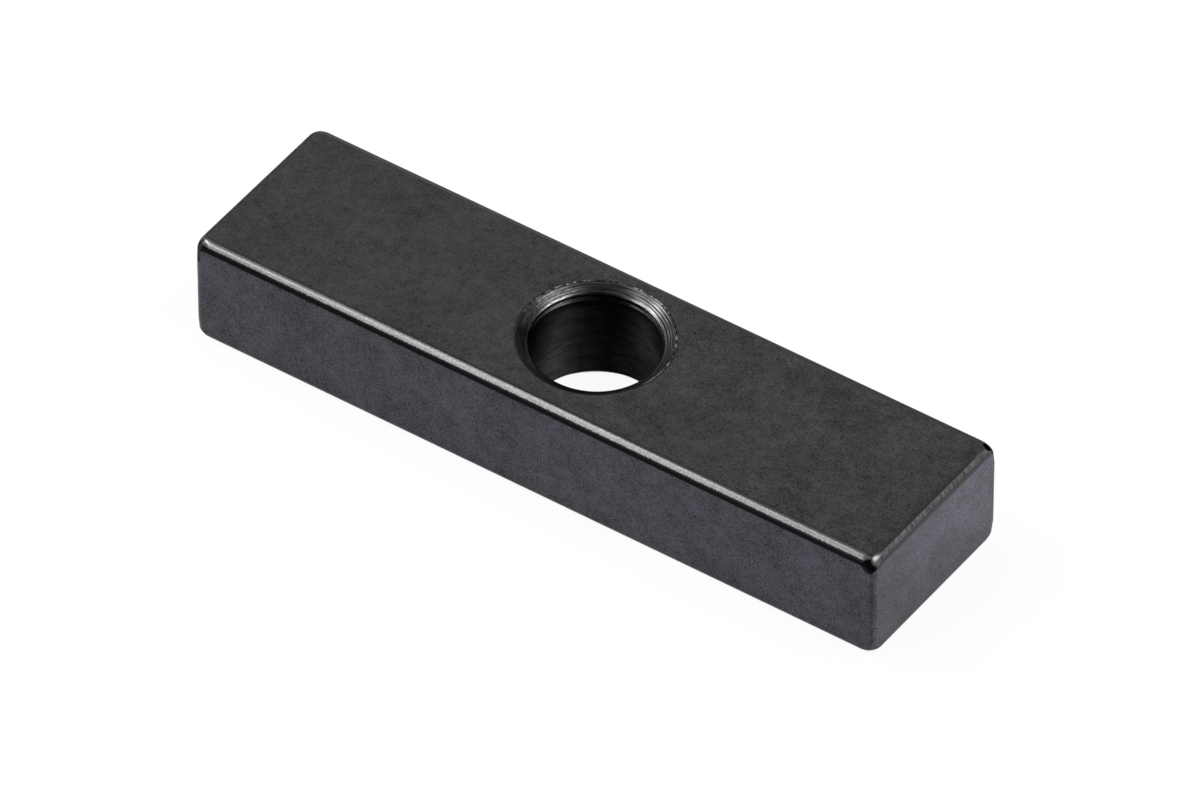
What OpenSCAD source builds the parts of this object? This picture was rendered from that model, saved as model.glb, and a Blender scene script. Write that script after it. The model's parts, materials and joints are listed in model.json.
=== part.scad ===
// T-slot nut in the form of a plain rectangular bar: a block of black oxided
// steel with one cross bore through its middle, countersunk at both ends.
// It lies flat on its underside. The origin is on that underside, at the middle
// of its length and width: X runs along the bar, Y across it and Z up.

/* [Block] */
// Length of the bar, along the slot
block_length = 52; // [40:1:120]
// Width of the bar, across the slot
block_width = 13.5; // [13:0.5:24]
// Height of the bar
block_height = 8; // [6:0.5:14]

/* [Tumbled edges] */
// Radius worn on the twelve edges
edge_radius = 0.55; // [0.3:0.05:0.55]
// Distance over which each corner is worn rounder than the edges
corner_reach = 1.1; // [1.1:0.05:1.6]

/* [Bore] */
// Diameter of the bore
bore_diameter = 8.5; // [7.5:0.1:9]
// Distance of the bore's axis behind the middle of the width
bore_offset = 0.4; // [-0.4:0.05:0.4]
// How much the bore has widened, across its diameter, where its top meets the countersink
lead_in_extra = 0.3; // [0.1:0.05:0.4]
// Depth over which the bore widens, below the upper countersink
lead_in_depth = 0.3; // [0.2:0.05:0.8]

/* [Countersinks] */
// Diameter of the upper countersink at the top face
top_mouth_diameter = 10.3; // [9.7:0.1:10.9]
// Full angle of the upper countersink
top_sink_angle = 120; // [90:5:130]
// Diameter of the lower countersink at the underside
bottom_mouth_diameter = 10.9; // [9.7:0.1:10.9]
// Full angle of the lower countersink
bottom_sink_angle = 90; // [80:5:130]

/* [Hidden] */

// Facet counts above 12 are read as true circles
edge_fn = 48;
bore_fn = 96;
// How far a cutter runs on past the face or the throat where it ends
overlap = 0.1;

lead_in_diameter = bore_diameter + lead_in_extra;
// Depth of a countersink from the two diameters that it joins and its full angle
function sink_depth(mouth, throat, angle) = (mouth - throat) / 2 / tan(angle / 2);
// Heights at which the bore's wall starts, gives way to the lead-in, and meets the countersink
bottom_throat_z = sink_depth(bottom_mouth_diameter, bore_diameter, bottom_sink_angle);
top_throat_z = block_height
    - sink_depth(top_mouth_diameter, lead_in_diameter, top_sink_angle);
bore_top_z = top_throat_z - lead_in_depth;

// Each corner is trimmed by a ball that touches the crest lines of its three edges.
// The crest of a rounded edge lies this far inside the two faces beside it.
crest_inset = edge_radius * (1 - sqrt(0.5));
ball_radius = sqrt(2) * (corner_reach - crest_inset);

core_length = block_length - 2 * edge_radius;
core_width = block_width - 2 * edge_radius;
core_height = block_height - 2 * edge_radius;

// Bar with all twelve edges and eight corners rounded to edge_radius
module rounded_bar() {
    translate([0, 0, block_height / 2]) {
        cube([block_length, core_width, core_height], center = true);
        cube([core_length, block_width, core_height], center = true);
        cube([core_length, core_width, block_height], center = true);
        for (y = [-1, 1], z = [-1, 1])
            translate([0, y * core_width / 2, z * core_height / 2])
                rotate([0, 90, 0])
                    cylinder(r = edge_radius, h = core_length, center = true, $fn = edge_fn);
        for (x = [-1, 1], z = [-1, 1])
            translate([x * core_length / 2, 0, z * core_height / 2])
                rotate([90, 0, 0])
                    cylinder(r = edge_radius, h = core_width, center = true, $fn = edge_fn);
        for (x = [-1, 1], y = [-1, 1])
            translate([x * core_length / 2, y * core_width / 2, 0])
                cylinder(r = edge_radius, h = core_height, center = true, $fn = edge_fn);
        for (x = [-1, 1], y = [-1, 1], z = [-1, 1])
            translate([x * core_length / 2, y * core_width / 2, z * core_height / 2])
                sphere(r = edge_radius, $fn = edge_fn);
    }
}

// What tumbling takes off one corner: a small block at the corner, less the ball.
// It is drawn for a corner at the origin with the bar on the negative side of it.
module corner_wear() {
    difference() {
        translate([-corner_reach, -corner_reach, -corner_reach])
            cube(corner_reach + overlap);
        translate([-corner_reach, -corner_reach, -corner_reach])
            sphere(r = ball_radius, $fn = edge_fn);
    }
}

// The wear of all eight corners
module all_corner_wear() {
    translate([0, 0, block_height / 2])
        for (x = [0, 1], y = [0, 1], z = [0, 1])
            mirror([x, 0, 0])
                mirror([0, y, 0])
                    mirror([0, 0, z])
                        translate([block_length / 2, block_width / 2, block_height / 2])
                            corner_wear();
}

// Cone cutter about Z that joins two diameters at two heights, and runs on past both
module cone_cut(low_z, low_diameter, high_z, high_diameter) {
    widening = (high_diameter - low_diameter) / (high_z - low_z);
    translate([0, 0, low_z - overlap])
        cylinder(
            d1 = low_diameter - widening * overlap,
            d2 = high_diameter + widening * overlap,
            h = high_z - low_z + 2 * overlap,
            $fn = bore_fn
        );
}

// Everything that the drill and the countersinks take out, about the bore's axis
module bore_cut() {
    translate([0, 0, -overlap])
        cylinder(d = bore_diameter, h = block_height + 2 * overlap, $fn = bore_fn);
    cone_cut(0, bottom_mouth_diameter, bottom_throat_z, bore_diameter);
    cone_cut(bore_top_z, bore_diameter, top_throat_z, lead_in_diameter);
    cone_cut(top_throat_z, lead_in_diameter, block_height, top_mouth_diameter);
}

module nut_block() {
    color([0.07, 0.07, 0.075])
        difference() {
            rounded_bar();
            all_corner_wear();
            translate([0, bore_offset, 0])
                bore_cut();
        }
}

nut_block();
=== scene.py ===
"""Looks of the t-slot nut: a bar of black oxided, tumbled steel with a countersunk cross bore."""

import json
import math
from types import SimpleNamespace

import bpy
import numpy as np
from mathutils import Matrix, Vector


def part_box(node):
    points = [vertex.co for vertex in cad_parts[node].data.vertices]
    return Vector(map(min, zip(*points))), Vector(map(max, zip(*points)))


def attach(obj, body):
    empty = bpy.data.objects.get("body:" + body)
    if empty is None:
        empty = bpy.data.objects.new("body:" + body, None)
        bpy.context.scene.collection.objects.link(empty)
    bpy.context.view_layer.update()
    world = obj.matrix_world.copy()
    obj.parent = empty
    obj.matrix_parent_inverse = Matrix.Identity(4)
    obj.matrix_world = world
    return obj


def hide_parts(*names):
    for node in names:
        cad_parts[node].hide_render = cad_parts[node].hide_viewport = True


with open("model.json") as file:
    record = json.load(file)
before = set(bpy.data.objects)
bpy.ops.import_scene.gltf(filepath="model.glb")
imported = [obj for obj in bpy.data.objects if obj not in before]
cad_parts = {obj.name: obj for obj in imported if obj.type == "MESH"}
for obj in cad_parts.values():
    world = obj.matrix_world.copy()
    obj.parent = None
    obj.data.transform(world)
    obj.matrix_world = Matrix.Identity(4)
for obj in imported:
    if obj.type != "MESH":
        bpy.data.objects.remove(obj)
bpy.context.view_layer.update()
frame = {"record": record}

# ---------------------------------------------------------------- sizes, in millimetres
MM = 0.001

block_low, block_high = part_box("nut_block")
HALF_LENGTH = (block_high.x - block_low.x) / 2 / MM
HALF_WIDTH = (block_high.y - block_low.y) / 2 / MM
HEIGHT = block_high.z / MM

MOUNTS = {mount["name"]: mount for mount in frame["record"]["mounts"]}
BORE_X = MOUNTS["screw_bore"]["pos_m"][0] / MM
BORE_Y = MOUNTS["screw_bore"]["pos_m"][1] / MM
BORE_RADIUS = MOUNTS["screw_bore"]["dims"]["r_mm"]

TOP_EDGE_RADIUS = 0.69
BOTTOM_EDGE_RADIUS = 0.5
# upright edges: right back, left back, left front, right front
UPRIGHT_EDGE_RADII = np.array([0.25, 0.4, 0.68, 0.36])
SHARPEST_CORNER = 0.05
CORNER_REACH = 1.0
CORNER_SOFTNESS = 0.1
SOFT_FROM_DEPTH = 0.35

LEAD_IN_RADIUS = 4.4
LEAD_IN_DEPTH = 0.3
STEP_HEIGHT = 0.07
TOP_MOUTH_RADIUS = 5.15
TOP_SLOPE = math.radians(30)
BOTTOM_MOUTH_RADIUS = 5.4
BOTTOM_SLOPE = 45
RIM_RADIUS = 0.06
RIM_WIDTH = 0.05
LIP_RADIUS = 0.09
# the lead-in and the upper countersink were cut a little oval, and off the bore's axis;
# the long way of the oval is given in degrees
OVAL = 0.11
LEAD_IN_TURN = 136
MOUTH_TURN = 126
LEAD_IN_SHIFT = (0.033, 0.002)
MOUTH_SHIFT = (0.04, -0.02)
# the step below the lead-in is tilted towards one side
LEAD_IN_TILT = 0.05
TILT_REACH = 0.2
TILT_TURN = math.radians(58)

TOOL_RINGS = 4
TOOL_RING_DEPTH = 0.008
# how unbroken the rings are about the bore: a level, a swing to both sides of it and a least
RING_TURN = math.radians(50)
RING_LEVEL = 0.45
RING_SWING = 0.75
LEAST_RINGS = 0.15
CHATTER_COUNT = 93
CHATTER_DEPTH = 0.03
CHATTER_TURN = math.radians(82)
CHATTER_LEVEL = 0.6
CHATTER_SWING = 0.8
LEAST_CHATTER = 0.15
BEAT_COUNT = 7
BEAT_LEVEL = 0.6
BEAT_SWING = 0.4

# the lower countersink is as deep as it is wide, at 45 degrees
BOTTOM_THROAT_Z = BOTTOM_MOUTH_RADIUS - BORE_RADIUS
TOP_THROAT_Z = HEIGHT - (TOP_MOUTH_RADIUS - LEAD_IN_RADIUS) * math.tan(TOP_SLOPE)
BORE_TOP_Z = TOP_THROAT_Z - LEAD_IN_DEPTH

# ---------------------------------------------------------------- how fine the grid is
COLUMNS = 800
# the columns are shared out by the turn about the bore, by length and by the corners
TURN_SHARE = 0.62
LENGTH_SHARE = 0.12
CORNER_SHARE = 0.26
CORNER_SPREAD = 0.9
FINE_PLACES = 40001

TOP_EDGE_ROWS = 19
SIDE_ROWS = 8
BOTTOM_EDGE_ROWS = 11
RIM_ROWS = 4
LIP_ROWS = 6
FLANK_ROWS = 33
# rows this far beside a rounded edge, or beside an edge in the hole, keep the faces there true
EDGE_GUARD = 0.04
HOLE_GUARD = 0.03
WALL_HEIGHTS = (1.6, 2.4, 3.0, 3.5, 3.9, 4.3, 5.0, 5.9, 6.7)
LOWER_SINK_SHARES = np.linspace(0.15, 0.96, 4)
STEP_SHARES = np.array([0.12, 0.5, 0.88])
FLANK_START = 0.03
# rows across the top and the underside: shares of the way out, then distances from the outline,
# which become shares of the way where the way is short
SHARES_OUT = (0.006, 0.03, 0.25, 0.5)
DISTANCES_BACK = (0.9, 0.6, 0.35, 0.15)
SHARE_PER_DISTANCE = 0.5

OUTSIDE, SINK, BORE, LIP, RIM, STEP = range(6)
SKIN_SLOT, CUT_SLOT, DRILLED_SLOT, FAR_EDGE_SLOT = range(4)
# the far edges' finish goes where the surface faces up and to the back or left by this much
FAR_EDGE_LIFT = 0.02
FAR_EDGE_FACING = 0.2
# keep the marks of upright and end surfaces steady where the surface is nearly level
UPRIGHT_STEADY = 0.02
ENDWISE_STEADY = 1e-4

# ---------------------------------------------------------------- painted light of the hole
# Painted highlights and painted shade of each part, on top of the lamps' own reflections: pairs of a
# direction about the bore, in degrees, and the metal's reflectance there, in thousandths
FLANK_PAINTED_LIGHT = np.array([
    (0, 50), (30, 40), (48, 14), (60, 25), (72, 90), (84, 45), (98, 20), (122, 18),
    (156, 45), (180, 40), (205, 8), (240, 22), (285, 30), (300, 50),
])
LIP_PAINTED_LIGHT = np.array([
    (0, 120), (25, 110), (48, 50), (60, 200), (72, 420), (84, 380), (96, 50), (110, 11),
    (125, 12), (144, 50), (156, 300), (168, 250), (180, 90), (205, 30), (280, 60), (300, 100),
])
STEP_PAINTED_LIGHT = np.array([
    (25, 20), (48, 90), (62, 120), (84, 50), (96, 3), (120, 2), (144, 13), (156, 63), (168, 24),
    (204, 10), (228, 20),
])
LEAD_IN_PAINTED_LIGHT = np.array([
    (25, 20), (48, 180), (60, 600), (72, 400), (84, 16), (108, 3), (122, 2), (144, 12),
    (156, 120), (168, 70), (180, 20), (204, 8), (300, 10),
])
UPPER_BORE_PAINTED_LIGHT = np.array([
    (40, 33), (70, 44), (80, 33), (90, 12), (100, 5), (110, 2), (130, 5), (142, 13), (160, 37),
    (180, 21), (200, 9),
])
LOWER_BORE_PAINTED_LIGHT = np.array([
    (30, 20), (75, 18), (90, 9), (115, 3), (138, 8), (150, 26), (162, 40), (172, 36), (190, 20),
    (210, 12),
])
TONE_UNIT = 0.001
# the upper bore's painted light takes over from the lower one's at this height, over this much
BORE_PAINTED_LIGHT_MEET = 3.4
BORE_PAINTED_LIGHT_OVER = 1.0
# the flank's inner edge, this wide, passes over to this much of the lip's painted light
FLANK_BLEND_WIDTH = 0.1
FLANK_BLEND = 0.5


# ---------------------------------------------------------------- the block as one closed grid
def outline_knots(inset):
    """Rounded rectangle as a centre that walks round a smaller rectangle while the outward
    direction turns: straight runs move the centre, corners turn the direction. Drawn in by
    inset, each corner's radius shrinks by as much, down to the sharpest corner."""
    corner = np.array([3, 0, 0, 1, 1, 2, 2, 3, 3])
    radius = np.maximum(UPRIGHT_EDGE_RADII - inset, SHARPEST_CORNER)[corner]
    centre_x = (HALF_LENGTH - inset - radius) * np.array([1, 1, 1, -1, -1, -1, -1, 1, 1])
    centre_y = (HALF_WIDTH - inset - radius) * np.array([-1, 1, 1, 1, 1, -1, -1, -1, -1])
    return radius, centre_x, centre_y


def outline_places():
    """Length along the full outline at each of its knots, and the direction there: a run adds
    the centre's way and the radius times the turn."""
    radius, centre_x, centre_y = outline_knots(0.0)
    turn = np.radians([0, 0, 90, 90, 180, 180, 270, 270, 360])
    runs = np.hypot(np.diff(centre_x), np.diff(centre_y)) + radius[1:] * np.diff(turn)
    return np.concatenate([[0.0], np.cumsum(runs)]), turn


def outer_ring(s, inset):
    """Outline drawn in by inset: every point is its centre plus the radius outwards."""
    length, turn = outline_places()
    radius, centre_x, centre_y = outline_knots(inset)
    direction = np.interp(s, length, turn)
    reach = np.interp(s, length, radius)
    x = np.interp(s, length, centre_x) + reach * np.cos(direction)
    y = np.interp(s, length, centre_y) + reach * np.sin(direction)
    return x, y


def column_places():
    """Places of the grid's columns along the outline. They are shared out between the turn
    about the bore, the length of the outline and the corners, by their added-up shares."""
    length, _ = outline_places()
    s = np.linspace(0.0, length[-1], FINE_PLACES)
    x, y = outer_ring(s, 0.0)
    about_bore = np.unwrap(np.arctan2(y - BORE_Y, x - BORE_X))
    by_turn = (about_bore - about_bore[0]) / (about_bore[-1] - about_bore[0])
    by_length = s / s[-1]
    corner_s = (length[1:-1:2] + length[2::2]) / 2
    closeness = np.exp(-(((s[:, None] - corner_s[None]) / CORNER_SPREAD) ** 2)).sum(1)
    by_corner = np.concatenate([[0.0], np.cumsum((closeness[1:] + closeness[:-1]) / 2)])
    by_corner = by_corner / by_corner[-1]
    share = TURN_SHARE * by_turn + LENGTH_SHARE * by_length + CORNER_SHARE * by_corner
    return np.interp(np.arange(COLUMNS) / COLUMNS, share, s)


def even_turns(start, stop, count):
    """Evenly spaced angles between two angles in degrees, in radians."""
    return np.radians(np.linspace(start, stop, count))


def outer_section():
    """Inset and height of the rows down the outside: a quarter round at the top edge, the
    straight side, and a quarter round at the bottom edge."""
    top = even_turns(0, 90, TOP_EDGE_ROWS)
    bottom = even_turns(90, 180, BOTTOM_EDGE_ROWS)
    side_top = HEIGHT - TOP_EDGE_RADIUS
    side_z = np.concatenate([
        [side_top - EDGE_GUARD],
        np.linspace(side_top, BOTTOM_EDGE_RADIUS, SIDE_ROWS)[1:-1],
        [BOTTOM_EDGE_RADIUS + EDGE_GUARD],
    ])
    inset = np.concatenate([
        [TOP_EDGE_RADIUS + EDGE_GUARD],
        TOP_EDGE_RADIUS * (1 - np.sin(top)),
        0 * side_z,
        BOTTOM_EDGE_RADIUS * (1 - np.sin(bottom)),
        [BOTTOM_EDGE_RADIUS + EDGE_GUARD],
    ])
    z = np.concatenate([
        [HEIGHT],
        HEIGHT - TOP_EDGE_RADIUS * (1 - np.cos(top)),
        side_z,
        BOTTOM_EDGE_RADIUS * (1 + np.cos(bottom)),
        [0.0],
    ])
    return inset, z


def bore_section():
    """Radius and height of the rows up the hole: lower countersink, bore wall, a small step,
    the lead-in, a rounded lip, the ringed upper countersink and its rounded rim. Cones are
    straight lines and rounds are arcs that touch them. ring is 1 on the crests that the tool
    left and 0 between them: the size of a sine with half a wave for each ring."""
    radius, height, kind, ring = [], [], [], []

    def rows(r, z, k, crest=0.0):
        r, z, crest = np.broadcast_arrays(np.asarray(r, float), np.asarray(z, float), crest)
        radius.append(r)
        height.append(z)
        kind.append(np.full(r.size, k))
        ring.append(crest)

    rim = even_turns(0, BOTTOM_SLOPE, RIM_ROWS)
    rim_back = RIM_RADIUS * math.tan(math.radians(BOTTOM_SLOPE / 2))
    rim_r = BOTTOM_MOUTH_RADIUS + rim_back - RIM_RADIUS * np.sin(rim)
    rows(rim_r, RIM_RADIUS * (1 - np.cos(rim)), OUTSIDE)

    sink_r = BOTTOM_MOUTH_RADIUS + (BORE_RADIUS - BOTTOM_MOUTH_RADIUS) * LOWER_SINK_SHARES
    rows(sink_r, BOTTOM_THROAT_Z * LOWER_SINK_SHARES, SINK)

    rows(BORE_RADIUS, [BOTTOM_THROAT_Z + HOLE_GUARD, *WALL_HEIGHTS, BORE_TOP_Z - HOLE_GUARD], BORE)

    step_r = BORE_RADIUS + (LEAD_IN_RADIUS - BORE_RADIUS) * STEP_SHARES
    rows(step_r, BORE_TOP_Z + STEP_HEIGHT * STEP_SHARES, STEP)

    lip_turn = math.pi / 2 - TOP_SLOPE
    lip_start = TOP_THROAT_Z - LIP_RADIUS * math.tan(lip_turn / 2)
    rows(LEAD_IN_RADIUS, [BORE_TOP_Z + STEP_HEIGHT + HOLE_GUARD, lip_start - HOLE_GUARD], BORE)

    lip = np.linspace(0, lip_turn, LIP_ROWS)
    rows(LEAD_IN_RADIUS + LIP_RADIUS * (1 - np.cos(lip)), lip_start + LIP_RADIUS * np.sin(lip), LIP)

    start_r = radius[-1][-1]
    end_r = TOP_MOUTH_RADIUS - RIM_WIDTH
    way = np.linspace(FLANK_START, 1, FLANK_ROWS)
    flank_r = start_r + (end_r - start_r) * way
    flank_z = TOP_THROAT_Z + (flank_r - LEAD_IN_RADIUS) * math.tan(TOP_SLOPE)
    crest = np.abs(np.sin(math.pi * TOOL_RINGS * way))
    raised = TOOL_RING_DEPTH * (crest - 0.5)
    rows(flank_r - raised * math.sin(TOP_SLOPE), flank_z + raised * math.cos(TOP_SLOPE), SINK, crest)

    end_z = TOP_THROAT_Z + (end_r - LEAD_IN_RADIUS) * math.tan(TOP_SLOPE)
    bend = (HEIGHT - end_z) / (1 - math.cos(TOP_SLOPE))
    rim = np.linspace(TOP_SLOPE, 0, RIM_ROWS)[1:]
    rows(end_r + bend * (math.sin(TOP_SLOPE) - np.sin(rim)), HEIGHT - bend * (1 - np.cos(rim)), RIM)
    return np.concatenate(radius), np.concatenate(height), np.concatenate(kind), np.concatenate(ring)


def chattered(turn):
    """How much the tool chattered at the upper rim: most on one side, none on the other, by
    the cosine of the turn between."""
    return np.clip(CHATTER_LEVEL + CHATTER_SWING * np.cos(turn - CHATTER_TURN), 0, 1)


def ringed(turn):
    """How unbroken the tool's rings are: by the cosine of the turn from their clearest side."""
    return np.clip(RING_LEVEL + RING_SWING * np.cos(turn - RING_TURN), LEAST_RINGS, 1)


def hole_surface(about):
    """Points of the hole, rows by columns. Each row is a circle, to which the lead-in and all
    above it add an oval, twice round per turn, whose long way turns from the lead-in to the
    mouth; the rim adds teeth, a fine wave times a slow one. The centre shifts from the lead-in
    to the mouth. Rows near the step are lowered by the cosine of the turn from the tilt."""
    radius, height, kind, ring = bore_section()
    grown = np.clip((height - BORE_TOP_Z) / STEP_HEIGHT, 0, 1)[:, None]
    opened = np.clip((height - TOP_THROAT_Z) / (HEIGHT - TOP_THROAT_Z), 0, 1)[:, None]
    long_way = np.radians(LEAD_IN_TURN + (MOUTH_TURN - LEAD_IN_TURN) * opened)
    fine_wave = 0.5 + 0.5 * np.sin(CHATTER_COUNT * about)
    slow_wave = BEAT_LEVEL + BEAT_SWING * np.sin(BEAT_COUNT * about)
    teeth = CHATTER_DEPTH * fine_wave * slow_wave * np.maximum(chattered(about), LEAST_CHATTER)
    radius = radius[:, None] + OVAL * grown * np.cos(2 * (about - long_way))
    radius = radius + np.where(kind == RIM, 1.0, 0.0)[:, None] * teeth
    shift_x = grown * (LEAD_IN_SHIFT[0] * (1 - opened) + MOUTH_SHIFT[0] * opened)
    shift_y = grown * (LEAD_IN_SHIFT[1] * (1 - opened) + MOUTH_SHIFT[1] * opened)
    x = BORE_X + radius * np.cos(about) + shift_x
    y = BORE_Y + radius * np.sin(about) + shift_y
    from_step = np.abs(height - BORE_TOP_Z - STEP_HEIGHT / 2)
    near_step = np.clip(1 - from_step / TILT_REACH, 0, 1)[:, None]
    z = height[:, None] - LEAD_IN_TILT * near_step * np.cos(about - TILT_TURN)
    return x, y, z, kind, ring


def across(start, end, z):
    """Rows on the straight way from the hole out to the outline, at one height."""
    way_x = end[0] - start[0]
    way_y = end[1] - start[1]
    way = np.hypot(way_x, way_y)
    near_outline = (1 - np.minimum(d / way, SHARE_PER_DISTANCE * d) for d in DISTANCES_BACK)
    shares = [*SHARES_OUT, *near_outline]
    return [grid_row(start[0] + way_x * t, start[1] + way_y * t, z, OUTSIDE) for t in shares]


def grid_row(x, y, z, kind, ring=0.0):
    return x, y, np.broadcast_to(z, x.shape), kind, ring


def block_grid():
    """The whole nut as one grid that closes on itself both ways: columns run round the bore,
    rows run down the outside, in across the underside, up the hole and out across the top."""
    s = column_places()
    edge_x, edge_y = outer_ring(s, 0.0)
    about = np.arctan2(edge_y - BORE_Y, edge_x - BORE_X)
    x, y, z, kind, ring = hole_surface(about)
    down = [grid_row(*outer_ring(s, inset), height, OUTSIDE) for inset, height in zip(*outer_section())]
    under = across((x[0], y[0]), down[-1], 0.0)
    hole = [grid_row(*row) for row in zip(x, y, z, kind, ring)]
    top = across((x[-1], y[-1]), down[0], HEIGHT)
    rows = down + under[::-1] + hole + top
    x, y, z, kind, ring = (np.array(part) for part in zip(*rows))
    return x, y, z, kind, ring


def smooth_min(a, b, softness):
    """Smaller of a and b, rounded over where they differ by less than softness."""
    near = np.clip(0.5 + 0.5 * (b - a) / np.maximum(softness, 1e-6), 0, 1)
    return b + (a - b) * near - softness * near * (1 - near)


def crest_inset(radius):
    """How far the crest of a rounded edge lies inside the two faces beside it."""
    return radius * (1 - math.sqrt(0.5))


def wear_corners(x, y, z):
    """Corners worn rounder. Near each corner a point further from the corner's ball centre
    than the ball's radius is drawn in to it; the ball touches the crests of the three edges."""
    corner = np.where(x > 0, np.where(y > 0, 0, 3), np.where(y > 0, 1, 2))
    ball = math.sqrt(2) * (CORNER_REACH - crest_inset(UPRIGHT_EDGE_RADII[corner]))

    def drop(edge_radius):
        crest = crest_inset(edge_radius)
        return crest + np.sqrt(ball**2 - (CORNER_REACH - crest) ** 2)

    upper = z > HEIGHT / 2
    reach_z = np.where(upper, drop(TOP_EDGE_RADIUS), drop(BOTTOM_EDGE_RADIUS))
    depth_z = np.where(upper, HEIGHT - z, z)
    out = np.stack([
        np.maximum(CORNER_REACH - (HALF_LENGTH - np.abs(x)), 0),
        np.maximum(CORNER_REACH - (HALF_WIDTH - np.abs(y)), 0),
        np.maximum(reach_z - depth_z, 0),
    ])
    far = np.sqrt((out**2).sum(0))
    inside = out.min(0)
    softness = CORNER_SOFTNESS * np.clip(inside / SOFT_FROM_DEPTH, 0, 1)
    wanted = np.where(inside > 0, smooth_min(far, ball, softness), far)
    moved = out * (1 - wanted / np.maximum(far, 1e-9))
    return x - moved[0] * np.sign(x), y - moved[1] * np.sign(y), z - moved[2] * np.where(upper, 1, -1)


def grid_faces(rows, columns):
    """Quads between neighbouring rows and columns, closed both ways, facing outwards."""
    r = np.arange(rows)[:, None]
    c = np.arange(columns)[None]
    r2 = (r + 1) % rows
    c2 = (c + 1) % columns
    quads = np.stack([r * columns + c, r2 * columns + c, r2 * columns + c2, r * columns + c2], -1)
    return quads.reshape(-1, 4)


def mesh_from_grid(name, x, y, z):
    """Mesh of a grid given in millimetres, smooth shaded."""
    rows, columns = x.shape
    points = np.stack([x, y, z], -1).reshape(-1, 3) * MM
    quads = grid_faces(rows, columns)
    mesh = bpy.data.meshes.new(name)
    mesh.vertices.add(len(points))
    mesh.vertices.foreach_set("co", points.astype(np.float32).ravel())
    mesh.loops.add(quads.size)
    mesh.loops.foreach_set("vertex_index", quads.astype(np.int32).ravel())
    mesh.polygons.add(len(quads))
    mesh.polygons.foreach_set("loop_start", np.arange(0, quads.size, 4, dtype=np.int32))
    mesh.polygons.foreach_set("use_smooth", np.ones(len(quads), dtype=bool))
    mesh.update(calc_edges=True)
    mesh.validate()
    return mesh


def grid_normals(x, y, z):
    """Outward directions of the grid's points: the cross product of the steps along the
    columns and down the rows."""
    p = np.stack([x, y, z], -1)
    along = np.roll(p, -1, 1) - np.roll(p, 1, 1)
    down = np.roll(p, -1, 0) - np.roll(p, 1, 0)
    normal = np.cross(down, along)
    return normal / np.maximum(np.linalg.norm(normal, axis=-1, keepdims=True), 1e-12)


def write_attribute(mesh, name, values):
    """One number, or one vector, for every point of the mesh."""
    values = np.asarray(values, dtype=np.float32)
    kind, field = ("FLOAT_VECTOR", "vector") if values.ndim == 3 else ("FLOAT", "value")
    mesh.attributes.new(name, kind, "POINT").data.foreach_set(field, values.ravel())


def tone_towards(turn, pairs):
    """Painted reflectance in a direction: straight lines between the pairs, closed at a full turn."""
    return np.interp(turn, pairs[:, 0], pairs[:, 1] * TONE_UNIT, period=360)


def hole_painted_light(turn, z, kinds):
    """Reflectance of each point of the hole by its direction about the bore: painted highlights and
    painted shade. The flank passes over to the lip's painted light along its inner edge, and the upper
    bore to the lower one around half height."""
    turn = np.degrees(turn) % 360
    flank = tone_towards(turn, FLANK_PAINTED_LIGHT)
    lip = tone_towards(turn, LIP_PAINTED_LIGHT)
    inner_edge = np.clip(1 - (z - TOP_THROAT_Z) / FLANK_BLEND_WIDTH, 0, 1)
    flank = np.where(z > HEIGHT / 2, flank + (FLANK_BLEND * lip - flank) * inner_edge, flank)
    upper = tone_towards(turn, UPPER_BORE_PAINTED_LIGHT)
    lower = tone_towards(turn, LOWER_BORE_PAINTED_LIGHT)
    bore = lower + (upper - lower) * np.clip((z - BORE_PAINTED_LIGHT_MEET) / BORE_PAINTED_LIGHT_OVER, 0, 1)
    bore = np.where(z > BORE_TOP_Z, tone_towards(turn, LEAD_IN_PAINTED_LIGHT), bore)
    step = tone_towards(turn, STEP_PAINTED_LIGHT)
    return np.select([kinds == LIP, kinds == BORE, kinds == STEP], [lip, bore, step], flank)


def mark_block(mesh, x, y, z, kind, ring):
    """Writes what the finishes need: lean, the surface's angle from level over a right angle;
    upright, 1 in the middle of an upright edge; endwise, 1 where the surface faces along the bar;
    tone, the hole's reflectance with painted highlights and shade by direction; rim, from 0.5
    where the rim is plain to 1 where it is chattered; ring, towards 1 on the tool's crests; clean, how
    unbroken the tool's rings are; swirl, the direction about the bore and the distance up the hole's
    section."""
    normal = grid_normals(x, y, z)
    flat = np.hypot(normal[..., 0], normal[..., 1])
    kinds = np.broadcast_to(kind[:, None], x.shape)
    turn = np.arctan2(y - BORE_Y, x - BORE_X)
    clean = ringed(turn)
    radius = np.hypot(x - BORE_X, y - BORE_Y)
    steps = np.hypot(np.diff(radius[:, :1], axis=0), np.diff(z[:, :1], axis=0))
    climb = np.broadcast_to(np.concatenate([[[0.0]], np.cumsum(steps, axis=0)]), x.shape)
    write_attribute(mesh, "lean", np.arccos(np.clip(normal[..., 2], -1, 1)) / (math.pi / 2))
    upright = 2 * np.abs(normal[..., 0] * normal[..., 1]) / (flat**2 + UPRIGHT_STEADY)
    write_attribute(mesh, "upright", upright)
    write_attribute(mesh, "endwise", normal[..., 0] ** 2 / (flat**2 + ENDWISE_STEADY))
    # painted highlights and painted shade of the hole, by direction about the bore
    write_attribute(mesh, "tone", hole_painted_light(turn, z, kinds))
    write_attribute(mesh, "rim", np.where(kinds == RIM, 0.5 + 0.5 * chattered(turn), 0.0))
    write_attribute(mesh, "ring", 0.5 + (ring[:, None] - 0.5) * clean)
    write_attribute(mesh, "clean", clean)
    write_attribute(mesh, "swirl", np.stack([(x - BORE_X) / radius, (y - BORE_Y) / radius, climb], -1))


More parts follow.
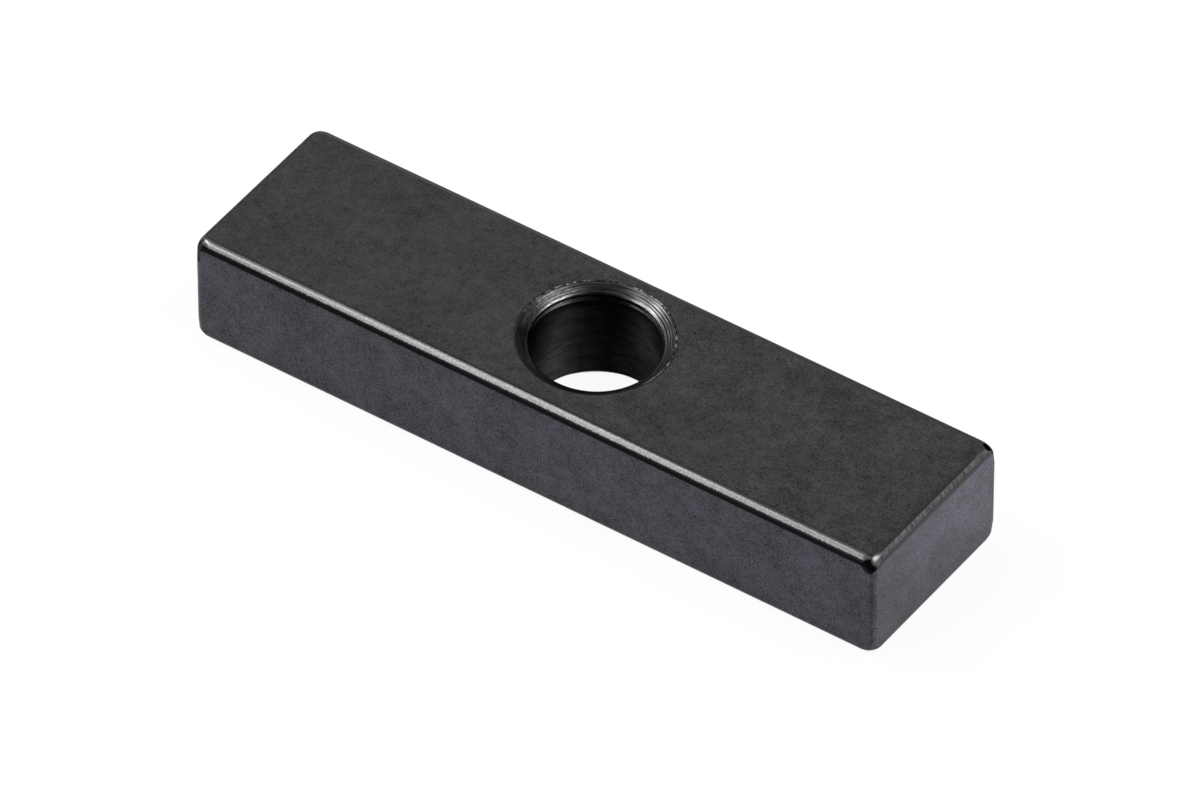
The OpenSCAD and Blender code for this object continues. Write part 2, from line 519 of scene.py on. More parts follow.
def face_slots(x, y, z, kind):
    """Which finish each quad has: drilled or cut by the row's part of the hole, else the skin,
    with its own finish on the rounded edges at the back and the left of the top."""
    following = np.roll(kind, -1)
    cut = (kind != OUTSIDE) | (following != OUTSIDE)
    drilled = (kind == BORE) | (following == BORE)
    slot_of_row = np.where(drilled, DRILLED_SLOT, np.where(cut, CUT_SLOT, SKIN_SLOT))[:, None]
    normal = grid_normals(x, y, z)
    facing_far = (normal[..., 1] > FAR_EDGE_FACING) | (normal[..., 0] < -FAR_EDGE_FACING)
    far_edge = facing_far & (normal[..., 2] > FAR_EDGE_LIFT)
    return np.where(far_edge & (slot_of_row == SKIN_SLOT), FAR_EDGE_SLOT, slot_of_row)


def build_block(materials):
    x, y, z, kind, ring = block_grid()
    x, y, z = wear_corners(x, y, z)
    mesh = mesh_from_grid("dressed_block", x, y, z)
    mark_block(mesh, x, y, z, kind, ring)
    for material in materials:
        mesh.materials.append(material)
    slots = face_slots(x, y, z, kind)
    mesh.polygons.foreach_set("material_index", slots.astype(np.int32).ravel())
    block = bpy.data.objects.new("dressed_block", mesh)
    bpy.context.scene.collection.objects.link(block)
    return block


# ---------------------------------------------------------------- building finishes
PER_MM = 1000.0
# first input, second input and output of a mix node, for numbers and for colours
MIX_NUMBERS = (2, 3, 0)
MIX_COLOURS = (6, 7, 2)


def new_material(name):
    material = bpy.data.materials.new(name)
    material.use_nodes = True
    tree = material.node_tree
    shader = tree.nodes["Principled BSDF"]
    shader.inputs["Metallic"].default_value = 1.0
    return material, tree, shader


def put(tree, socket, value):
    """Sets an input to a number or colour, or links it to another node's output."""
    if isinstance(value, bpy.types.NodeSocket):
        tree.links.new(value, socket)
    else:
        socket.default_value = value


def calc(tree, operation, a, b):
    node = tree.nodes.new("ShaderNodeMath")
    node.operation = operation
    put(tree, node.inputs[0], a)
    put(tree, node.inputs[1], b)
    return node.outputs[0]


def times(tree, *values):
    """Product of several values."""
    total = values[0]
    for value in values[1:]:
        total = calc(tree, "MULTIPLY", total, value)
    return total


def line(tree, value, start, slope):
    """Straight line: start plus the slope times the value."""
    return calc(tree, "ADD", start, calc(tree, "MULTIPLY", value, slope))


def nudged(tree, value, layer, weight):
    """A value plus a noise's distance from its middle, times a weight."""
    from_middle = calc(tree, "SUBTRACT", layer, 0.5)
    return calc(tree, "ADD", value, calc(tree, "MULTIPLY", from_middle, weight))


def uneven(tree, *layers):
    """1 plus each noise's distance from its middle, times its weight."""
    total = 1.0
    for layer, weight in layers:
        total = nudged(tree, total, layer, weight)
    return total


def rise(tree, value, low, high, to_low=0.0, to_high=1.0):
    """Smooth step of a value between low and high. It falls where low is the greater."""
    node = tree.nodes.new("ShaderNodeMapRange")
    node.interpolation_type = "SMOOTHSTEP"
    put(tree, node.inputs["Value"], value)
    put(tree, node.inputs["From Min"], low)
    put(tree, node.inputs["From Max"], high)
    put(tree, node.inputs["To Min"], to_low)
    put(tree, node.inputs["To Max"], to_high)
    return node.outputs["Result"]


def is_colour(value):
    return isinstance(value, tuple) or getattr(value, "type", "") == "RGBA"


def between(tree, factor, a, b):
    """a where factor is 0, b where it is 1."""
    node = tree.nodes.new("ShaderNodeMix")
    colour = is_colour(a) or is_colour(b)
    node.data_type = "RGBA" if colour else "FLOAT"
    first, second, out = MIX_COLOURS if colour else MIX_NUMBERS
    put(tree, node.inputs[0], factor)
    put(tree, node.inputs[first], a)
    put(tree, node.inputs[second], b)
    return node.outputs[out]


def tinted(tree, value, tint):
    """A grey value or colour times a tint."""
    node = tree.nodes.new("ShaderNodeMix")
    node.data_type = "RGBA"
    node.blend_type = "MULTIPLY"
    first, second, out = MIX_COLOURS
    put(tree, node.inputs[0], 1.0)
    put(tree, node.inputs[first], value)
    put(tree, node.inputs[second], tint)
    return node.outputs[out]


def attribute(tree, name, output="Fac"):
    node = tree.nodes.new("ShaderNodeAttribute")
    node.attribute_name = name
    return node.outputs[output]


def stretched(tree, vector, scale):
    node = tree.nodes.new("ShaderNodeMapping")
    put(tree, node.inputs["Vector"], vector)
    put(tree, node.inputs["Scale"], scale)
    return node.outputs[0]


def noise(tree, vector, scale, detail, roughness):
    node = tree.nodes.new("ShaderNodeTexNoise")
    put(tree, node.inputs["Vector"], vector)
    put(tree, node.inputs["Scale"], scale)
    put(tree, node.inputs["Detail"], detail)
    put(tree, node.inputs["Roughness"], roughness)
    return node.outputs["Fac"]


def bump(tree, height, distance):
    node = tree.nodes.new("ShaderNodeBump")
    put(tree, node.inputs["Height"], height)
    put(tree, node.inputs["Distance"], distance)
    put(tree, node.inputs["Strength"], 1.0)
    return node.outputs[0]


def millimetres(tree):
    """Object coordinates in millimetres, as a vector and as x, y and z."""
    place = tree.nodes.new("ShaderNodeTexCoord").outputs["Object"]
    whole = stretched(tree, place, (PER_MM, PER_MM, PER_MM))
    node = tree.nodes.new("ShaderNodeSeparateXYZ")
    tree.links.new(whole, node.inputs[0])
    return whole, node.outputs["X"], node.outputs["Y"], node.outputs["Z"]


def vector(tree, x, y, z):
    node = tree.nodes.new("ShaderNodeCombineXYZ")
    put(tree, node.inputs["X"], x)
    put(tree, node.inputs["Y"], y)
    put(tree, node.inputs["Z"], z)
    return node.outputs[0]


def spot(tree, where, centre, radius, soft):
    """1 within a radius of a place, fading to 0 over soft, in millimetres."""
    node = tree.nodes.new("ShaderNodeVectorMath")
    node.operation = "DISTANCE"
    put(tree, node.inputs[0], where)
    put(tree, node.inputs[1], centre)
    return rise(tree, node.outputs["Value"], radius + soft, radius)


def two_spots(tree, where, places):
    return calc(tree, "MAXIMUM", spot(tree, where, *places[0]), spot(tree, where, *places[1]))


# ---------------------------------------------------------------- the black oxide skin
# In these lists two levels are where a rise starts and ends, and four add its values there. A
# start and a slope belong to a line along the bar: its value at the left, and what it gains
# towards the right.

# Noises: how many to a millimetre, detail and roughness
GRIT = (8.0, 2.0, 0.6)
GRAIN = (3.2, 2.0, 0.6)
PATCHES = (1.1, 2.0, 0.5)
CLOUDS = (0.3, 2.0, 0.5)
PITS = (5.3, 1.0, 0.5)
SALT = (10.0, 2.0, 0.6)
BEADS = (1.0, 2.0, 0.5)

# Mottle: how much each noise changes the faces, and how strong the whole is on the top (a line
# along the bar), on the long sides and on the ends
GRIT_WEIGHT = 2.4
GRAIN_WEIGHT = 0.9
PATCH_WEIGHT = 0.6
CLOUD_WEIGHT = 0.6
PIT_LEVELS = (0.60, 0.74)
PIT_SHARE = 0.1
PIT_WEIGHT = 0.35
TOP_MOTTLE = (0.92, 0.36)
LONG_MOTTLE = 1.34
END_MOTTLE = 1.42
DARKEST_MOTTLE = 0.25

# Where the surface is, by its lean: 0 is the top, 1 upright, 2 the underside
SIDE_FROM_TOP = (0.60, 0.80)
SIDE_FROM_UNDERSIDE = (1.6, 1.3)
END_FACING = (0.3, 0.62)
ALONG_BAR = (-22.0, 22.0)

# Reflectances and tints of the faces. The long sides and the ends are painted lighter than the top, the
# ends most: painted light and shade of one oxide. Pairs are mixed by the patches or, on the end, by how
# high and how far back the place is, which paints the end lighter upward and towards the back.
PLAIN = (1, 1, 1, 1)
TOP_GREY = 0.0396
TOP_PATCH = (1.03, 1.0, 1.09, 1)
TOP_PATCH_LEVELS = (0.55, 0.68)
TOP_PATCHES_FROM_X = (3.0, 12.0)
PATCH_LEVELS = (0.35, 0.65)
LONG_SIDE = ((0.0543, 0.0523, 0.0611, 1), (0.0523, 0.0507, 0.0647, 1))
PAINTED_LIT_END = ((0.0660, 0.0625, 0.0780, 1), (0.1040, 0.0985, 0.1230, 1))
END_PATCHES = ((1.07, 1.0, 0.98, 1), (0.95, 1.0, 1.06, 1))
END_PAINTED_LIGHT_BY_Y = 0.55
END_PAINTED_LIGHT_RISE = (0.5, 9.0)
# painted shade: the sides are darker near the floor, at the upright edges and, on top, beside the
# front and right edges; the upright edges are warmer too
PAINTED_SHADE_NEAR_FLOOR = (0.2, 1.7, 0.8, 1.0)
UPRIGHT_PAINTED_SHADE = ((0.0, 0.05), (0.5, 0.3))
UPRIGHT_PAINTED_SHADE_DEPTH = 0.16
UPRIGHT_TURN = ((0.02, 0.2), (1.0, 0.9))
UPRIGHT_WARMTH = (1.04, 0.99, 0.91, 1)
PAINTED_SHADE_BESIDE_FRONT = (-0.12, 0.24, 0.70, 1.0)
PAINTED_SHADE_BESIDE_END = (-0.2, 0.5, 0.86, 1.0)

# Rounded edges, by lean, from 0 at the top face to 1 at the side. On the long edges the crest's
# start and stop and the border's stop are lines along the bar, set where the painted highlight and
# the painted shade fall.
EDGE_END_FACING = (0.60, 0.82)
RAGGED = 0.13
LESS_RAGGED = 0.05
CREST_START = (0.045, 0.165)
CREST_STOP = (0.49, 0.02)
CREST_RISE = 0.065
CREST_FADE = 0.07
END_CREST_START = 0.34
END_CREST_STOP = 0.58
END_CREST_FADE = 0.16
CREST_STOPS_AT_CORNER = (0.46, 0.26)
BORDER_START = (0.0, 0.06)
BORDER_STOP = (0.922, 0.058)
BORDER_FADE = 0.09
END_BORDER_START = (0.14, 0.24)
END_BORDER_Z = (HEIGHT - 0.92, HEIGHT - 0.6)
BORDER_FROM_X = (-25.52, -25.24)
LOWER_PART = (0.25, 0.5)
# the far edges are those at the back and the left
FAR_FROM_Y = (4.0, 6.0)
FAR_FROM_X = (-24.0, -25.0)
# reflectance of the painted shade, the deep black bands above and below the crest, each on the long
# edges and on the end edges, and above the crest on the far edges
PAINTED_SHADE_ABOVE = (0.022, 0.027)
PAINTED_SHADE_BELOW = (0.007, 0.058)
PAINTED_SHADE_FAR = 0.05
PAINTED_SHADE_TINT = (1.0, 0.97, 1.06, 1)
# reflectance of the crest, rubbed metal brightened into a painted highlight: salt along the front
# edge, slanted beads along the end edge, and plain at the corner between
SALT_LEVELS = (0.33, 0.69, 0.070, 0.122)
BEAD_LEVELS = (0.34, 0.68, 0.075, 0.16)
BEADS_PER_MM = 5.0
BEAD_SLANT = 1.5
BEADS_ALONG_LEAN = 1.6
BEADS_ALONG_X = 0.1
CORNER_CREST = 0.12
CORNER_CREST_LEVELS = (0.3, 0.6)

# Spots: place, radius and soft border, in millimetres
# painted dark reflections: two black spots, at the right front and right back corners
PAINTED_DARK_SPOTS = (((25.49, -6.63, 7.46), 0.42, 0.14), ((25.62, 6.32, 7.78), 0.28, 0.1))
PAINTED_DARK_SPOT_COLOUR = (0.003, 0.003, 0.003, 1)
# painted highlights: two bright spots, at the right front and left front corners
PAINTED_HIGHLIGHT_SPOTS = (((25.74, -6.14, 7.71), 0.18, 0.24), ((-25.14, -6.29, 7.96), 0.12, 0.16))
PAINTED_HIGHLIGHT_COLOUR = (0.135, 0.13, 0.135, 1)

SKIN_ROUGHNESS = (0.33, 0.2)
EDGE_ROUGHNESS = 0.24
PIT_RELIEF = -0.5
SKIN_RELIEF = 0.006 * MM
FULL_SHEEN = 1.0
FAR_EDGE_SHEEN = 0.45


def skin_layers(tree):
    """What the skin is made from: the place, the surface's directions and the noises."""
    where, x, y, z = millimetres(tree)
    skin = SimpleNamespace(where=where, x=x, y=y, z=z)
    skin.lean = attribute(tree, "lean")
    skin.endwise = attribute(tree, "endwise")
    skin.upright = attribute(tree, "upright")
    skin.grit = noise(tree, where, *GRIT)
    skin.grain = noise(tree, where, *GRAIN)
    skin.patch = noise(tree, where, *PATCHES)
    skin.cloud = noise(tree, where, *CLOUDS)
    skin.pits = rise(tree, noise(tree, where, *PITS), *PIT_LEVELS)
    skin.on_side = times(
        tree,
        rise(tree, skin.lean, *SIDE_FROM_TOP),
        rise(tree, skin.lean, *SIDE_FROM_UNDERSIDE),
    )
    skin.on_end = rise(tree, skin.endwise, *END_FACING)
    skin.along = rise(tree, x, *ALONG_BAR)
    return skin


def skin_mottle(tree, skin):
    """Grit, grain, patches and clouds added up, less small pits. Its distance from 1 is then
    multiplied by how strong the mottle is there."""
    mottle = uneven(
        tree,
        (skin.grit, GRIT_WEIGHT),
        (skin.grain, GRAIN_WEIGHT),
        (skin.patch, PATCH_WEIGHT),
        (skin.cloud, CLOUD_WEIGHT),
    )
    pitted = times(tree, calc(tree, "SUBTRACT", skin.pits, PIT_SHARE), PIT_WEIGHT)
    mottle = calc(tree, "SUBTRACT", mottle, pitted)
    on_top = line(tree, skin.along, *TOP_MOTTLE)
    strength = between(tree, skin.on_side, on_top, between(tree, skin.on_end, LONG_MOTTLE, END_MOTTLE))
    mottle = line(tree, calc(tree, "SUBTRACT", mottle, 1.0), 1.0, strength)
    return calc(tree, "MAXIMUM", mottle, DARKEST_MOTTLE)


def side_colour(tree, skin):
    """Long sides and ends, mixed by patches and painted lighter than the top, the end painted lighter
    upward and towards the back, with painted shade near the floor and at the upright edges.
    """
    blue = rise(tree, skin.patch, *PATCH_LEVELS)
    long_side = between(tree, blue, *LONG_SIDE)
    # painted light: the end face lighter upward and towards the back
    painted_light_height = calc(tree, "ADD", calc(tree, "MULTIPLY", skin.y, END_PAINTED_LIGHT_BY_Y), skin.z)
    end_side = between(tree, rise(tree, painted_light_height, *END_PAINTED_LIGHT_RISE), *PAINTED_LIT_END)
    end_side = tinted(tree, end_side, between(tree, blue, *END_PATCHES))
    side = between(tree, skin.on_end, long_side, end_side)
    # painted shade: the sides darker near the floor
    side = tinted(tree, rise(tree, skin.z, *PAINTED_SHADE_NEAR_FLOOR), side)
    # painted shade: a dark line along the upright edges
    upright_shade = times(tree, *(rise(tree, skin.endwise, *levels) for levels in UPRIGHT_PAINTED_SHADE))
    line_shade = calc(tree, "SUBTRACT", 1.0, times(tree, upright_shade, UPRIGHT_PAINTED_SHADE_DEPTH))
    side = tinted(tree, line_shade, side)
    turning = times(tree, *(rise(tree, skin.endwise, *levels) for levels in UPRIGHT_TURN))
    return between(tree, turning, side, tinted(tree, side, UPRIGHT_WARMTH))


def top_colour(tree, skin):
    """Top and underside: one grey, with painted shade beside the front and right edges, and
    bluish patches on the right half."""
    # painted shade on the top beside the front and right edges
    from_front = calc(tree, "ADD", HALF_WIDTH - TOP_EDGE_RADIUS, skin.y)
    from_end = calc(tree, "SUBTRACT", HALF_LENGTH - TOP_EDGE_RADIUS, skin.x)
    shade = times(tree, rise(tree, from_front, *PAINTED_SHADE_BESIDE_FRONT), rise(tree, from_end, *PAINTED_SHADE_BESIDE_END))
    bluish = times(
        tree,
        rise(tree, skin.patch, *TOP_PATCH_LEVELS),
        rise(tree, skin.x, *TOP_PATCHES_FROM_X),
    )
    return tinted(tree, times(tree, shade, TOP_GREY), between(tree, bluish, PLAIN, TOP_PATCH))


def crest_wear_and_highlight(tree, skin, ends):
    """1 on the crest of a rounded edge, rubbed metal that also carries a painted highlight: a rise and
    a fall of the lean, made ragged by the grit. On the end edges the crest is narrower and fades more
    slowly."""
    ragged = nudged(tree, skin.lean, skin.grit, RAGGED)
    start = between(tree, ends, line(tree, skin.along, *CREST_START), END_CREST_START)
    stop = between(tree, ends, line(tree, skin.along, *CREST_STOP), END_CREST_STOP)
    fade = between(tree, ends, CREST_FADE, END_CREST_FADE)
    return times(
        tree,
        rise(tree, ragged, start, calc(tree, "ADD", start, CREST_RISE)),
        rise(tree, ragged, calc(tree, "ADD", stop, fade), stop),
        calc(tree, "MAXIMUM", ends, rise(tree, skin.endwise, *CREST_STOPS_AT_CORNER)),
    )


def painted_shade_band(tree, skin, ends):
    """1 on the painted shade of the rounded edges, deep black bands: between two leans on the long
    edges, from a lean down to a height on the end edges, and none at the bar's left end."""
    ragged = nudged(tree, skin.lean, skin.grit, RAGGED)
    smoother = nudged(tree, skin.lean, skin.grit, LESS_RAGGED)
    stop = line(tree, skin.along, *BORDER_STOP)
    long_border = times(
        tree,
        rise(tree, ragged, *BORDER_START),
        rise(tree, smoother, stop, calc(tree, "SUBTRACT", stop, BORDER_FADE)),
    )
    end_border = times(
        tree,
        rise(tree, ragged, *END_BORDER_START),
        rise(tree, skin.z, *END_BORDER_Z),
    )
    shade_band = between(tree, ends, long_border, end_border)
    return times(tree, shade_band, rise(tree, skin.x, *BORDER_FROM_X))


def painted_shade_colour(tree, skin, ends):
    """Painted shade, deep black, by whether the place is above or below the crest, on a long or an
    end edge, and near or far."""
    far = calc(
        tree,
        "MAXIMUM",
        rise(tree, skin.y, *FAR_FROM_Y),
        rise(tree, skin.x, *FAR_FROM_X),
    )
    above = between(tree, far, between(tree, ends, *PAINTED_SHADE_ABOVE), PAINTED_SHADE_FAR)
    below = between(tree, ends, *PAINTED_SHADE_BELOW)
    return tinted(tree, between(tree, rise(tree, skin.lean, *LOWER_PART), above, below), PAINTED_SHADE_TINT)


def bead_value(tree, skin):
    """Slanted beads of the end edges: a noise with its places mostly along the width, moved on
    by the lean, and plain at the corners."""
    across_bar = calc(tree, "MULTIPLY", skin.y, BEADS_PER_MM)
    slant = calc(tree, "ADD", across_bar, calc(tree, "MULTIPLY", skin.lean, BEAD_SLANT))
    down = calc(tree, "MULTIPLY", skin.lean, BEADS_ALONG_LEAN)
    along = calc(tree, "MULTIPLY", skin.x, BEADS_ALONG_X)
    beads = rise(tree, noise(tree, vector(tree, slant, down, along), *BEADS), *BEAD_LEVELS)
    return between(tree, rise(tree, skin.upright, *CORNER_CREST_LEVELS), beads, CORNER_CREST)


def oxide_skin(name, sheen):
    """Matte black oxide, with how much of its sheen is left at grazing angles. Faces: mottled,
    warmer and bluer by patches on the sides, with painted light and shade. Rounded edges: a rubbed
    crest that carries a painted highlight, between bands of painted shade. Over both, a few painted
    dark reflections and painted highlights at the corners."""
    material, tree, shader = new_material(name)
    skin = skin_layers(tree)
    face = between(tree, skin.on_side, top_colour(tree, skin), side_colour(tree, skin))
    face = tinted(tree, skin_mottle(tree, skin), face)

    ends = rise(tree, skin.endwise, *EDGE_END_FACING)
    shade_band = painted_shade_band(tree, skin, ends)
    salt = rise(tree, noise(tree, skin.where, *SALT), *SALT_LEVELS)
    crest_highlight_value = between(tree, ends, salt, bead_value(tree, skin))
    # painted shade: deep black bands beside the crest
    colour = between(tree, shade_band, face, painted_shade_colour(tree, skin, ends))
    # the crest: rubbed metal and a painted highlight
    colour = between(tree, crest_wear_and_highlight(tree, skin, ends), colour, crest_highlight_value)
    # painted dark reflections at two corners
    colour = between(tree, two_spots(tree, skin.where, PAINTED_DARK_SPOTS), colour, PAINTED_DARK_SPOT_COLOUR)
    # painted highlights at two corners
    colour = between(tree, two_spots(tree, skin.where, PAINTED_HIGHLIGHT_SPOTS), colour, PAINTED_HIGHLIGHT_COLOUR)
    put(tree, shader.inputs["Base Color"], colour)

    shader.inputs["Specular Tint"].default_value = (sheen, sheen, sheen, 1)
    matte = line(tree, skin.grain, *SKIN_ROUGHNESS)
    put(tree, shader.inputs["Roughness"], between(tree, shade_band, matte, EDGE_ROUGHNESS))
    relief = between(tree, shade_band, line(tree, skin.pits, skin.grit, PIT_RELIEF), salt)
    put(tree, shader.inputs["Normal"], bump(tree, relief, SKIN_RELIEF))
    return material


# ---------------------------------------------------------------- cut and drilled metal
# Streaks: how many along the direction's cosine and sine, and to a millimetre up the hole's
# section; then their detail
TURNED_BANDS = ((2.0, 2.0, 7.0), 2.0)
TURNED_GRAIN = ((15.0, 15.0, 9.0), 2.0)
TURNED_LINES = ((4.0, 4.0, 17.0), 2.0)
DRILLED_ARCS = ((2.2, 2.2, 2.6), 3.0)
DRILLED_LINES = ((5.0, 5.0, 9.0), 2.0)
STREAK_ROUGHNESS = 0.6
BAND_LEVELS = (0.3, 0.7, 0.6, 1.5)
FINE_LEVELS = (0.32, 0.68, 0.55, 1.45)
RING_VALUE = (0.55, 0.9)
ARC_LEVELS = (0.3, 0.7, 0.7, 1.35)
DRILLED_LINE_LEVELS = (0.3, 0.7, 0.75, 1.25)

# The rim: painted glints, bright dots of the grain where it is chattered and the painted light isn't
# black. A value is the start and the slope of a line.
ON_RIM = (0.0, 0.45)
ROUGH_RIM = (0.55, 0.9)
DOT_LEVELS = (0.45, 0.62)
DOTS_BY_PAINTED_LIGHT = (0.018, 0.032, 0.1, 1.0)
DOT_VALUE = (0.16, 2.4)
PLAIN_RIM = 0.03
UNDER_DOTS = 0.35
BRIGHTEST_CUT = 0.85

CUT_SHEEN = (0.5, 0.5, 0.5, 1)
CUT_ROUGHNESS = 0.25
CUT_RELIEF = 0.004 * MM
BORE_TINT = (1.0, 0.99, 1.07, 1)
BORE_SHEEN = (0.46, 0.46, 0.46, 1)
BORE_ROUGHNESS = 0.42
BORE_RELIEF = 0.01 * MM


def streaks(tree, swirl, stretch, detail):
    """Noise drawn out along the way the tool went."""
    return noise(tree, stretched(tree, swirl, stretch), 1.0, detail, STREAK_ROUGHNESS)


def cut_steel():
    """Countersinks, turned by a tool: the painted highlights and shade of the direction, times bands,
    rings and either fine lines or grain, as the rings are whole or broken. The rim is plain or has
    dots, which are painted glints."""
    material, tree, shader = new_material("cut_countersink")
    swirl = attribute(tree, "swirl", "Vector")
    tone = attribute(tree, "tone")
    rim = attribute(tree, "rim")
    ring = attribute(tree, "ring")
    bands = streaks(tree, swirl, *TURNED_BANDS)
    grain = streaks(tree, swirl, *TURNED_GRAIN)
    fine = between(tree, attribute(tree, "clean"), grain, streaks(tree, swirl, *TURNED_LINES))
    marks = times(tree, rise(tree, bands, *BAND_LEVELS), rise(tree, fine, *FINE_LEVELS))
    marks = times(tree, marks, line(tree, ring, *RING_VALUE))
    # the flank: painted highlights and painted shade by direction, times the tool's marks
    flank = times(tree, tone, marks)

    rough_rim = rise(tree, rim, *ROUGH_RIM)
    dots = times(tree, rise(tree, grain, *DOT_LEVELS), rough_rim, rise(tree, tone, *DOTS_BY_PAINTED_LIGHT))
    under_dots = between(tree, rough_rim, PLAIN_RIM, calc(tree, "MULTIPLY", tone, UNDER_DOTS))
    # the rim's dots: painted glints, brighter where the painted light is brighter
    rim_value = between(tree, dots, under_dots, line(tree, tone, *DOT_VALUE))
    value = between(tree, rise(tree, rim, *ON_RIM), flank, rim_value)
    put(tree, shader.inputs["Base Color"], calc(tree, "MINIMUM", value, BRIGHTEST_CUT))
    shader.inputs["Specular Tint"].default_value = CUT_SHEEN
    put(tree, shader.inputs["Roughness"], CUT_ROUGHNESS)
    put(tree, shader.inputs["Normal"], bump(tree, calc(tree, "ADD", fine, ring), CUT_RELIEF))
    return material


def drilled_steel():
    """Bore wall: deep black and bluish, with broad lighter streaks up it, which are painted highlights
    and shade by direction about the bore, and faint arcs left by the drill."""
    material, tree, shader = new_material("drilled_bore")
    swirl = attribute(tree, "swirl", "Vector")
    tone = attribute(tree, "tone")
    arcs = streaks(tree, swirl, *DRILLED_ARCS)
    fine = streaks(tree, swirl, *DRILLED_LINES)
    # painted highlights and painted shade by direction, times the drill's arcs and lines
    value = times(tree, tone, rise(tree, arcs, *ARC_LEVELS), rise(tree, fine, *DRILLED_LINE_LEVELS))
    put(tree, shader.inputs["Base Color"], tinted(tree, value, BORE_TINT))
    shader.inputs["Specular Tint"].default_value = BORE_SHEEN
    put(tree, shader.inputs["Roughness"], BORE_ROUGHNESS)
    put(tree, shader.inputs["Normal"], bump(tree, arcs, BORE_RELIEF))
    return material


# ---------------------------------------------------------------- stage, lights and camera
# Camera: azimuth, elevation and roll in degrees, then millimetres: its aim's way from the
# middle of the nut, its distance from there, its lens and its sensor
CAMERA_TURN = (34.906, 43.016, -0.044)
CAMERA_RIGHT = 0.5085
CAMERA_DOWN = 0.796
CAMERA_DISTANCE = 1067.7
CAMERA_LENS = 510.0
SENSOR_WIDTH = 36.0

# the rest in metres
CAMERA_NEAR = 0.1
CAMERA_FAR = 10.0
FLOOR_HALF_SIZE = 1.5
FLOOR_Z = -0.01 * MM
FLOOR_COLOUR = (0.9, 0.9, 0.9, 1)
FLOOR_GLOW = 0.94
WORLD_ON_NUT = 0.35
WORLD_SEEN = 1.0

# Lamps: name, direction, distance, size, radiance, and the direction of the long side.
# The long softbox lies over the front edge, along the arc that this edge mirrors.
ARC_ALONG = -0.405
ARC_ACROSS = 0.914
ARC_TILT = math.radians(27)
ARC_DIRECTION = (ARC_ALONG, -ARC_ACROSS * math.sin(ARC_TILT), ARC_ACROSS * math.cos(ARC_TILT))
ARC_SIDE = (0, -math.cos(ARC_TILT), -math.sin(ARC_TILT))
LAMPS = (
    ("long_softbox", ARC_DIRECTION, 0.3, (0.77, 0.05), 6.0, ARC_SIDE),
    ("left_softbox", (-0.73, -0.03, 0.68), 0.4, (0.30, 0.10), 8.0, (-0.55, 0.61, -0.57)),
    ("right_softbox", (0.50, 0.20, 0.84), 0.4, (0.24, 0.20), 5.0, (0.0, 1.0, -0.2)),
)


def view_axes(azimuth, elevation, roll):
    """Right, up and back directions of a camera, from its turn about Z, its height above the
    horizon and its roll, in degrees."""
    a = math.radians(azimuth)
    e = math.radians(elevation)
    r = math.radians(roll)
    back = np.array([math.sin(a) * math.cos(e), -math.cos(a) * math.cos(e), math.sin(e)])
    right = np.array([math.cos(a), math.sin(a), 0.0])
    up = np.cross(back, right)
    return right * math.cos(r) + up * math.sin(r), up * math.cos(r) - right * math.sin(r), back


def place_camera():
    right, up, back = view_axes(*CAMERA_TURN)
    aim = np.array([0.0, 0.0, HEIGHT / 2]) + CAMERA_RIGHT * right - CAMERA_DOWN * up
    camera = bpy.data.cameras.new("camera")
    camera.lens = CAMERA_LENS
    camera.sensor_width = SENSOR_WIDTH
    camera.clip_start = CAMERA_NEAR
    camera.clip_end = CAMERA_FAR
    holder = bpy.data.objects.new("camera", camera)
    matrix = np.eye(4)
    matrix[:3, 0] = right
    matrix[:3, 1] = up
    matrix[:3, 2] = back
    matrix[:3, 3] = (aim + CAMERA_DISTANCE * back) * MM
    holder.matrix_world = Matrix(matrix.tolist())
    bpy.context.scene.collection.objects.link(holder)
    bpy.context.scene.camera = holder


def seen_directly(tree):
    """1 for rays from the camera, from reflections and through clear materials, else 0."""
    path = tree.nodes.new("ShaderNodeLightPath")
    seen = calc(tree, "MAXIMUM", path.outputs["Is Camera Ray"], path.outputs["Is Glossy Ray"])
    return calc(tree, "MAXIMUM", seen, path.outputs["Is Transmission Ray"])


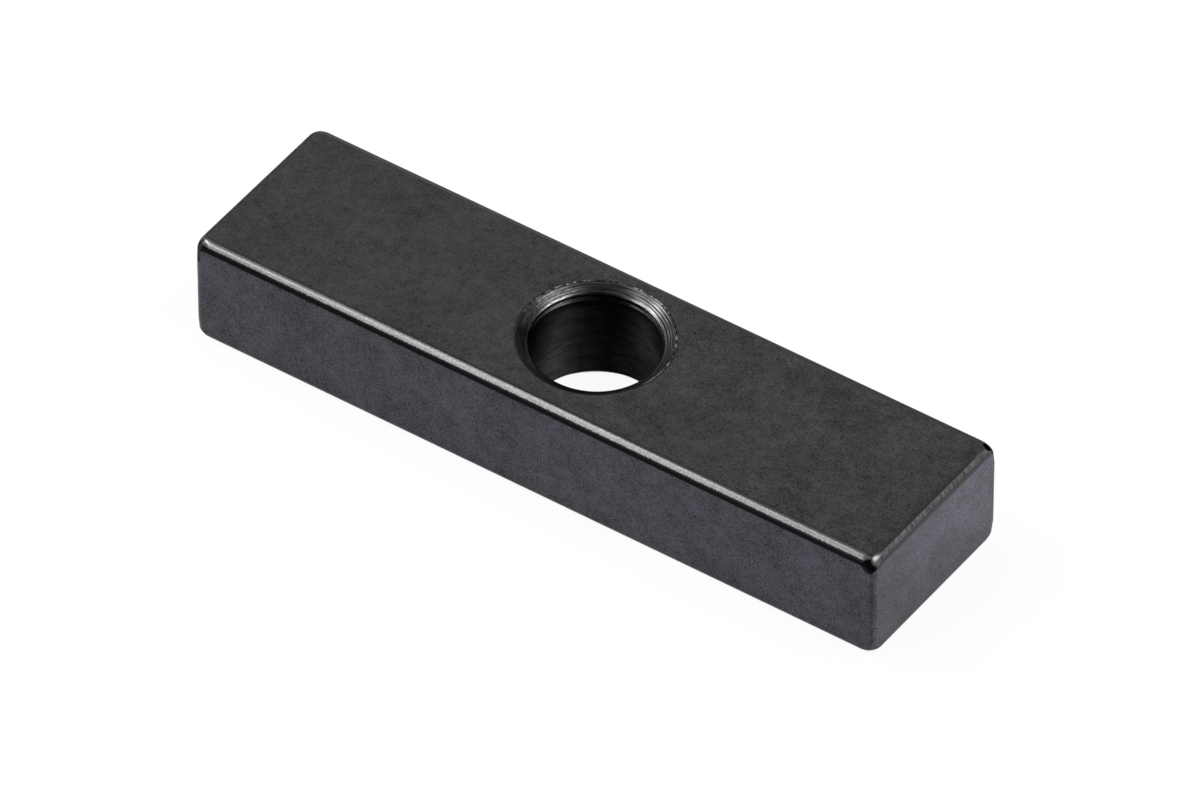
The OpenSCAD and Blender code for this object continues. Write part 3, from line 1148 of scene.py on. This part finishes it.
def build_floor():
    """Flat floor a hair below the nut: it glows white where it is seen, and lets a little of
    the nut's shadow show."""
    low, high = -FLOOR_HALF_SIZE, FLOOR_HALF_SIZE
    corners = [(low, low, FLOOR_Z), (high, low, FLOOR_Z), (high, high, FLOOR_Z), (low, high, FLOOR_Z)]
    mesh = bpy.data.meshes.new("floor")
    mesh.from_pydata(corners, [], [(0, 1, 2, 3)])
    floor = bpy.data.objects.new("floor", mesh)
    bpy.context.scene.collection.objects.link(floor)
    material = bpy.data.materials.new("pale_floor")
    material.use_nodes = True
    tree = material.node_tree
    tree.nodes.clear()
    out = tree.nodes.new("ShaderNodeOutputMaterial")
    mix = tree.nodes.new("ShaderNodeMixShader")
    cloth = tree.nodes.new("ShaderNodeBsdfDiffuse")
    glow = tree.nodes.new("ShaderNodeEmission")
    cloth.inputs["Color"].default_value = FLOOR_COLOUR
    glow.inputs["Strength"].default_value = 1.0
    put(tree, mix.inputs[0], calc(tree, "MULTIPLY", seen_directly(tree), FLOOR_GLOW))
    tree.links.new(cloth.outputs[0], mix.inputs[1])
    tree.links.new(glow.outputs[0], mix.inputs[2])
    tree.links.new(mix.outputs[0], out.inputs[0])
    floor.data.materials.append(material)


def build_world():
    """White where it is seen, dimmer as a light on the nut."""
    world = bpy.data.worlds.new("studio")
    bpy.context.scene.world = world
    world.use_nodes = True
    tree = world.node_tree
    tree.nodes.clear()
    out = tree.nodes.new("ShaderNodeOutputWorld")
    background = tree.nodes.new("ShaderNodeBackground")
    strength = rise(tree, seen_directly(tree), 0.0, 1.0, WORLD_ON_NUT, WORLD_SEEN)
    put(tree, background.inputs["Strength"], strength)
    tree.links.new(background.outputs[0], out.inputs[0])


def area_light(name, direction, distance, size, radiance, along):
    """Rectangular lamp that faces the nut from a direction, with its long side along a given
    direction as nearly as it can. radiance is what a mirror would show of it."""
    lamp = bpy.data.lights.new(name, "AREA")
    lamp.shape = "RECTANGLE"
    lamp.size = size[0]
    lamp.size_y = size[1]
    lamp.energy = radiance * math.pi * size[0] * size[1]
    holder = bpy.data.objects.new(name, lamp)
    back = Vector(direction).normalized()
    long_side = Vector(along)
    long_side = (long_side - back * long_side.dot(back)).normalized()
    matrix = Matrix((long_side, back.cross(long_side), back)).transposed().to_4x4()
    matrix.translation = back * distance
    holder.matrix_world = matrix
    bpy.context.scene.collection.objects.link(holder)


scene = bpy.context.scene
scene.view_settings.view_transform = "Standard"

place_camera()
build_floor()
build_world()
for lamp in LAMPS:
    area_light(*lamp)
skin = oxide_skin("black_oxide_skin", FULL_SHEEN)
far_edges = oxide_skin("black_oxide_far_edges", FAR_EDGE_SHEEN)
block = build_block([skin, cut_steel(), drilled_steel(), far_edges])
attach(block, "root")
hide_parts("nut_block")
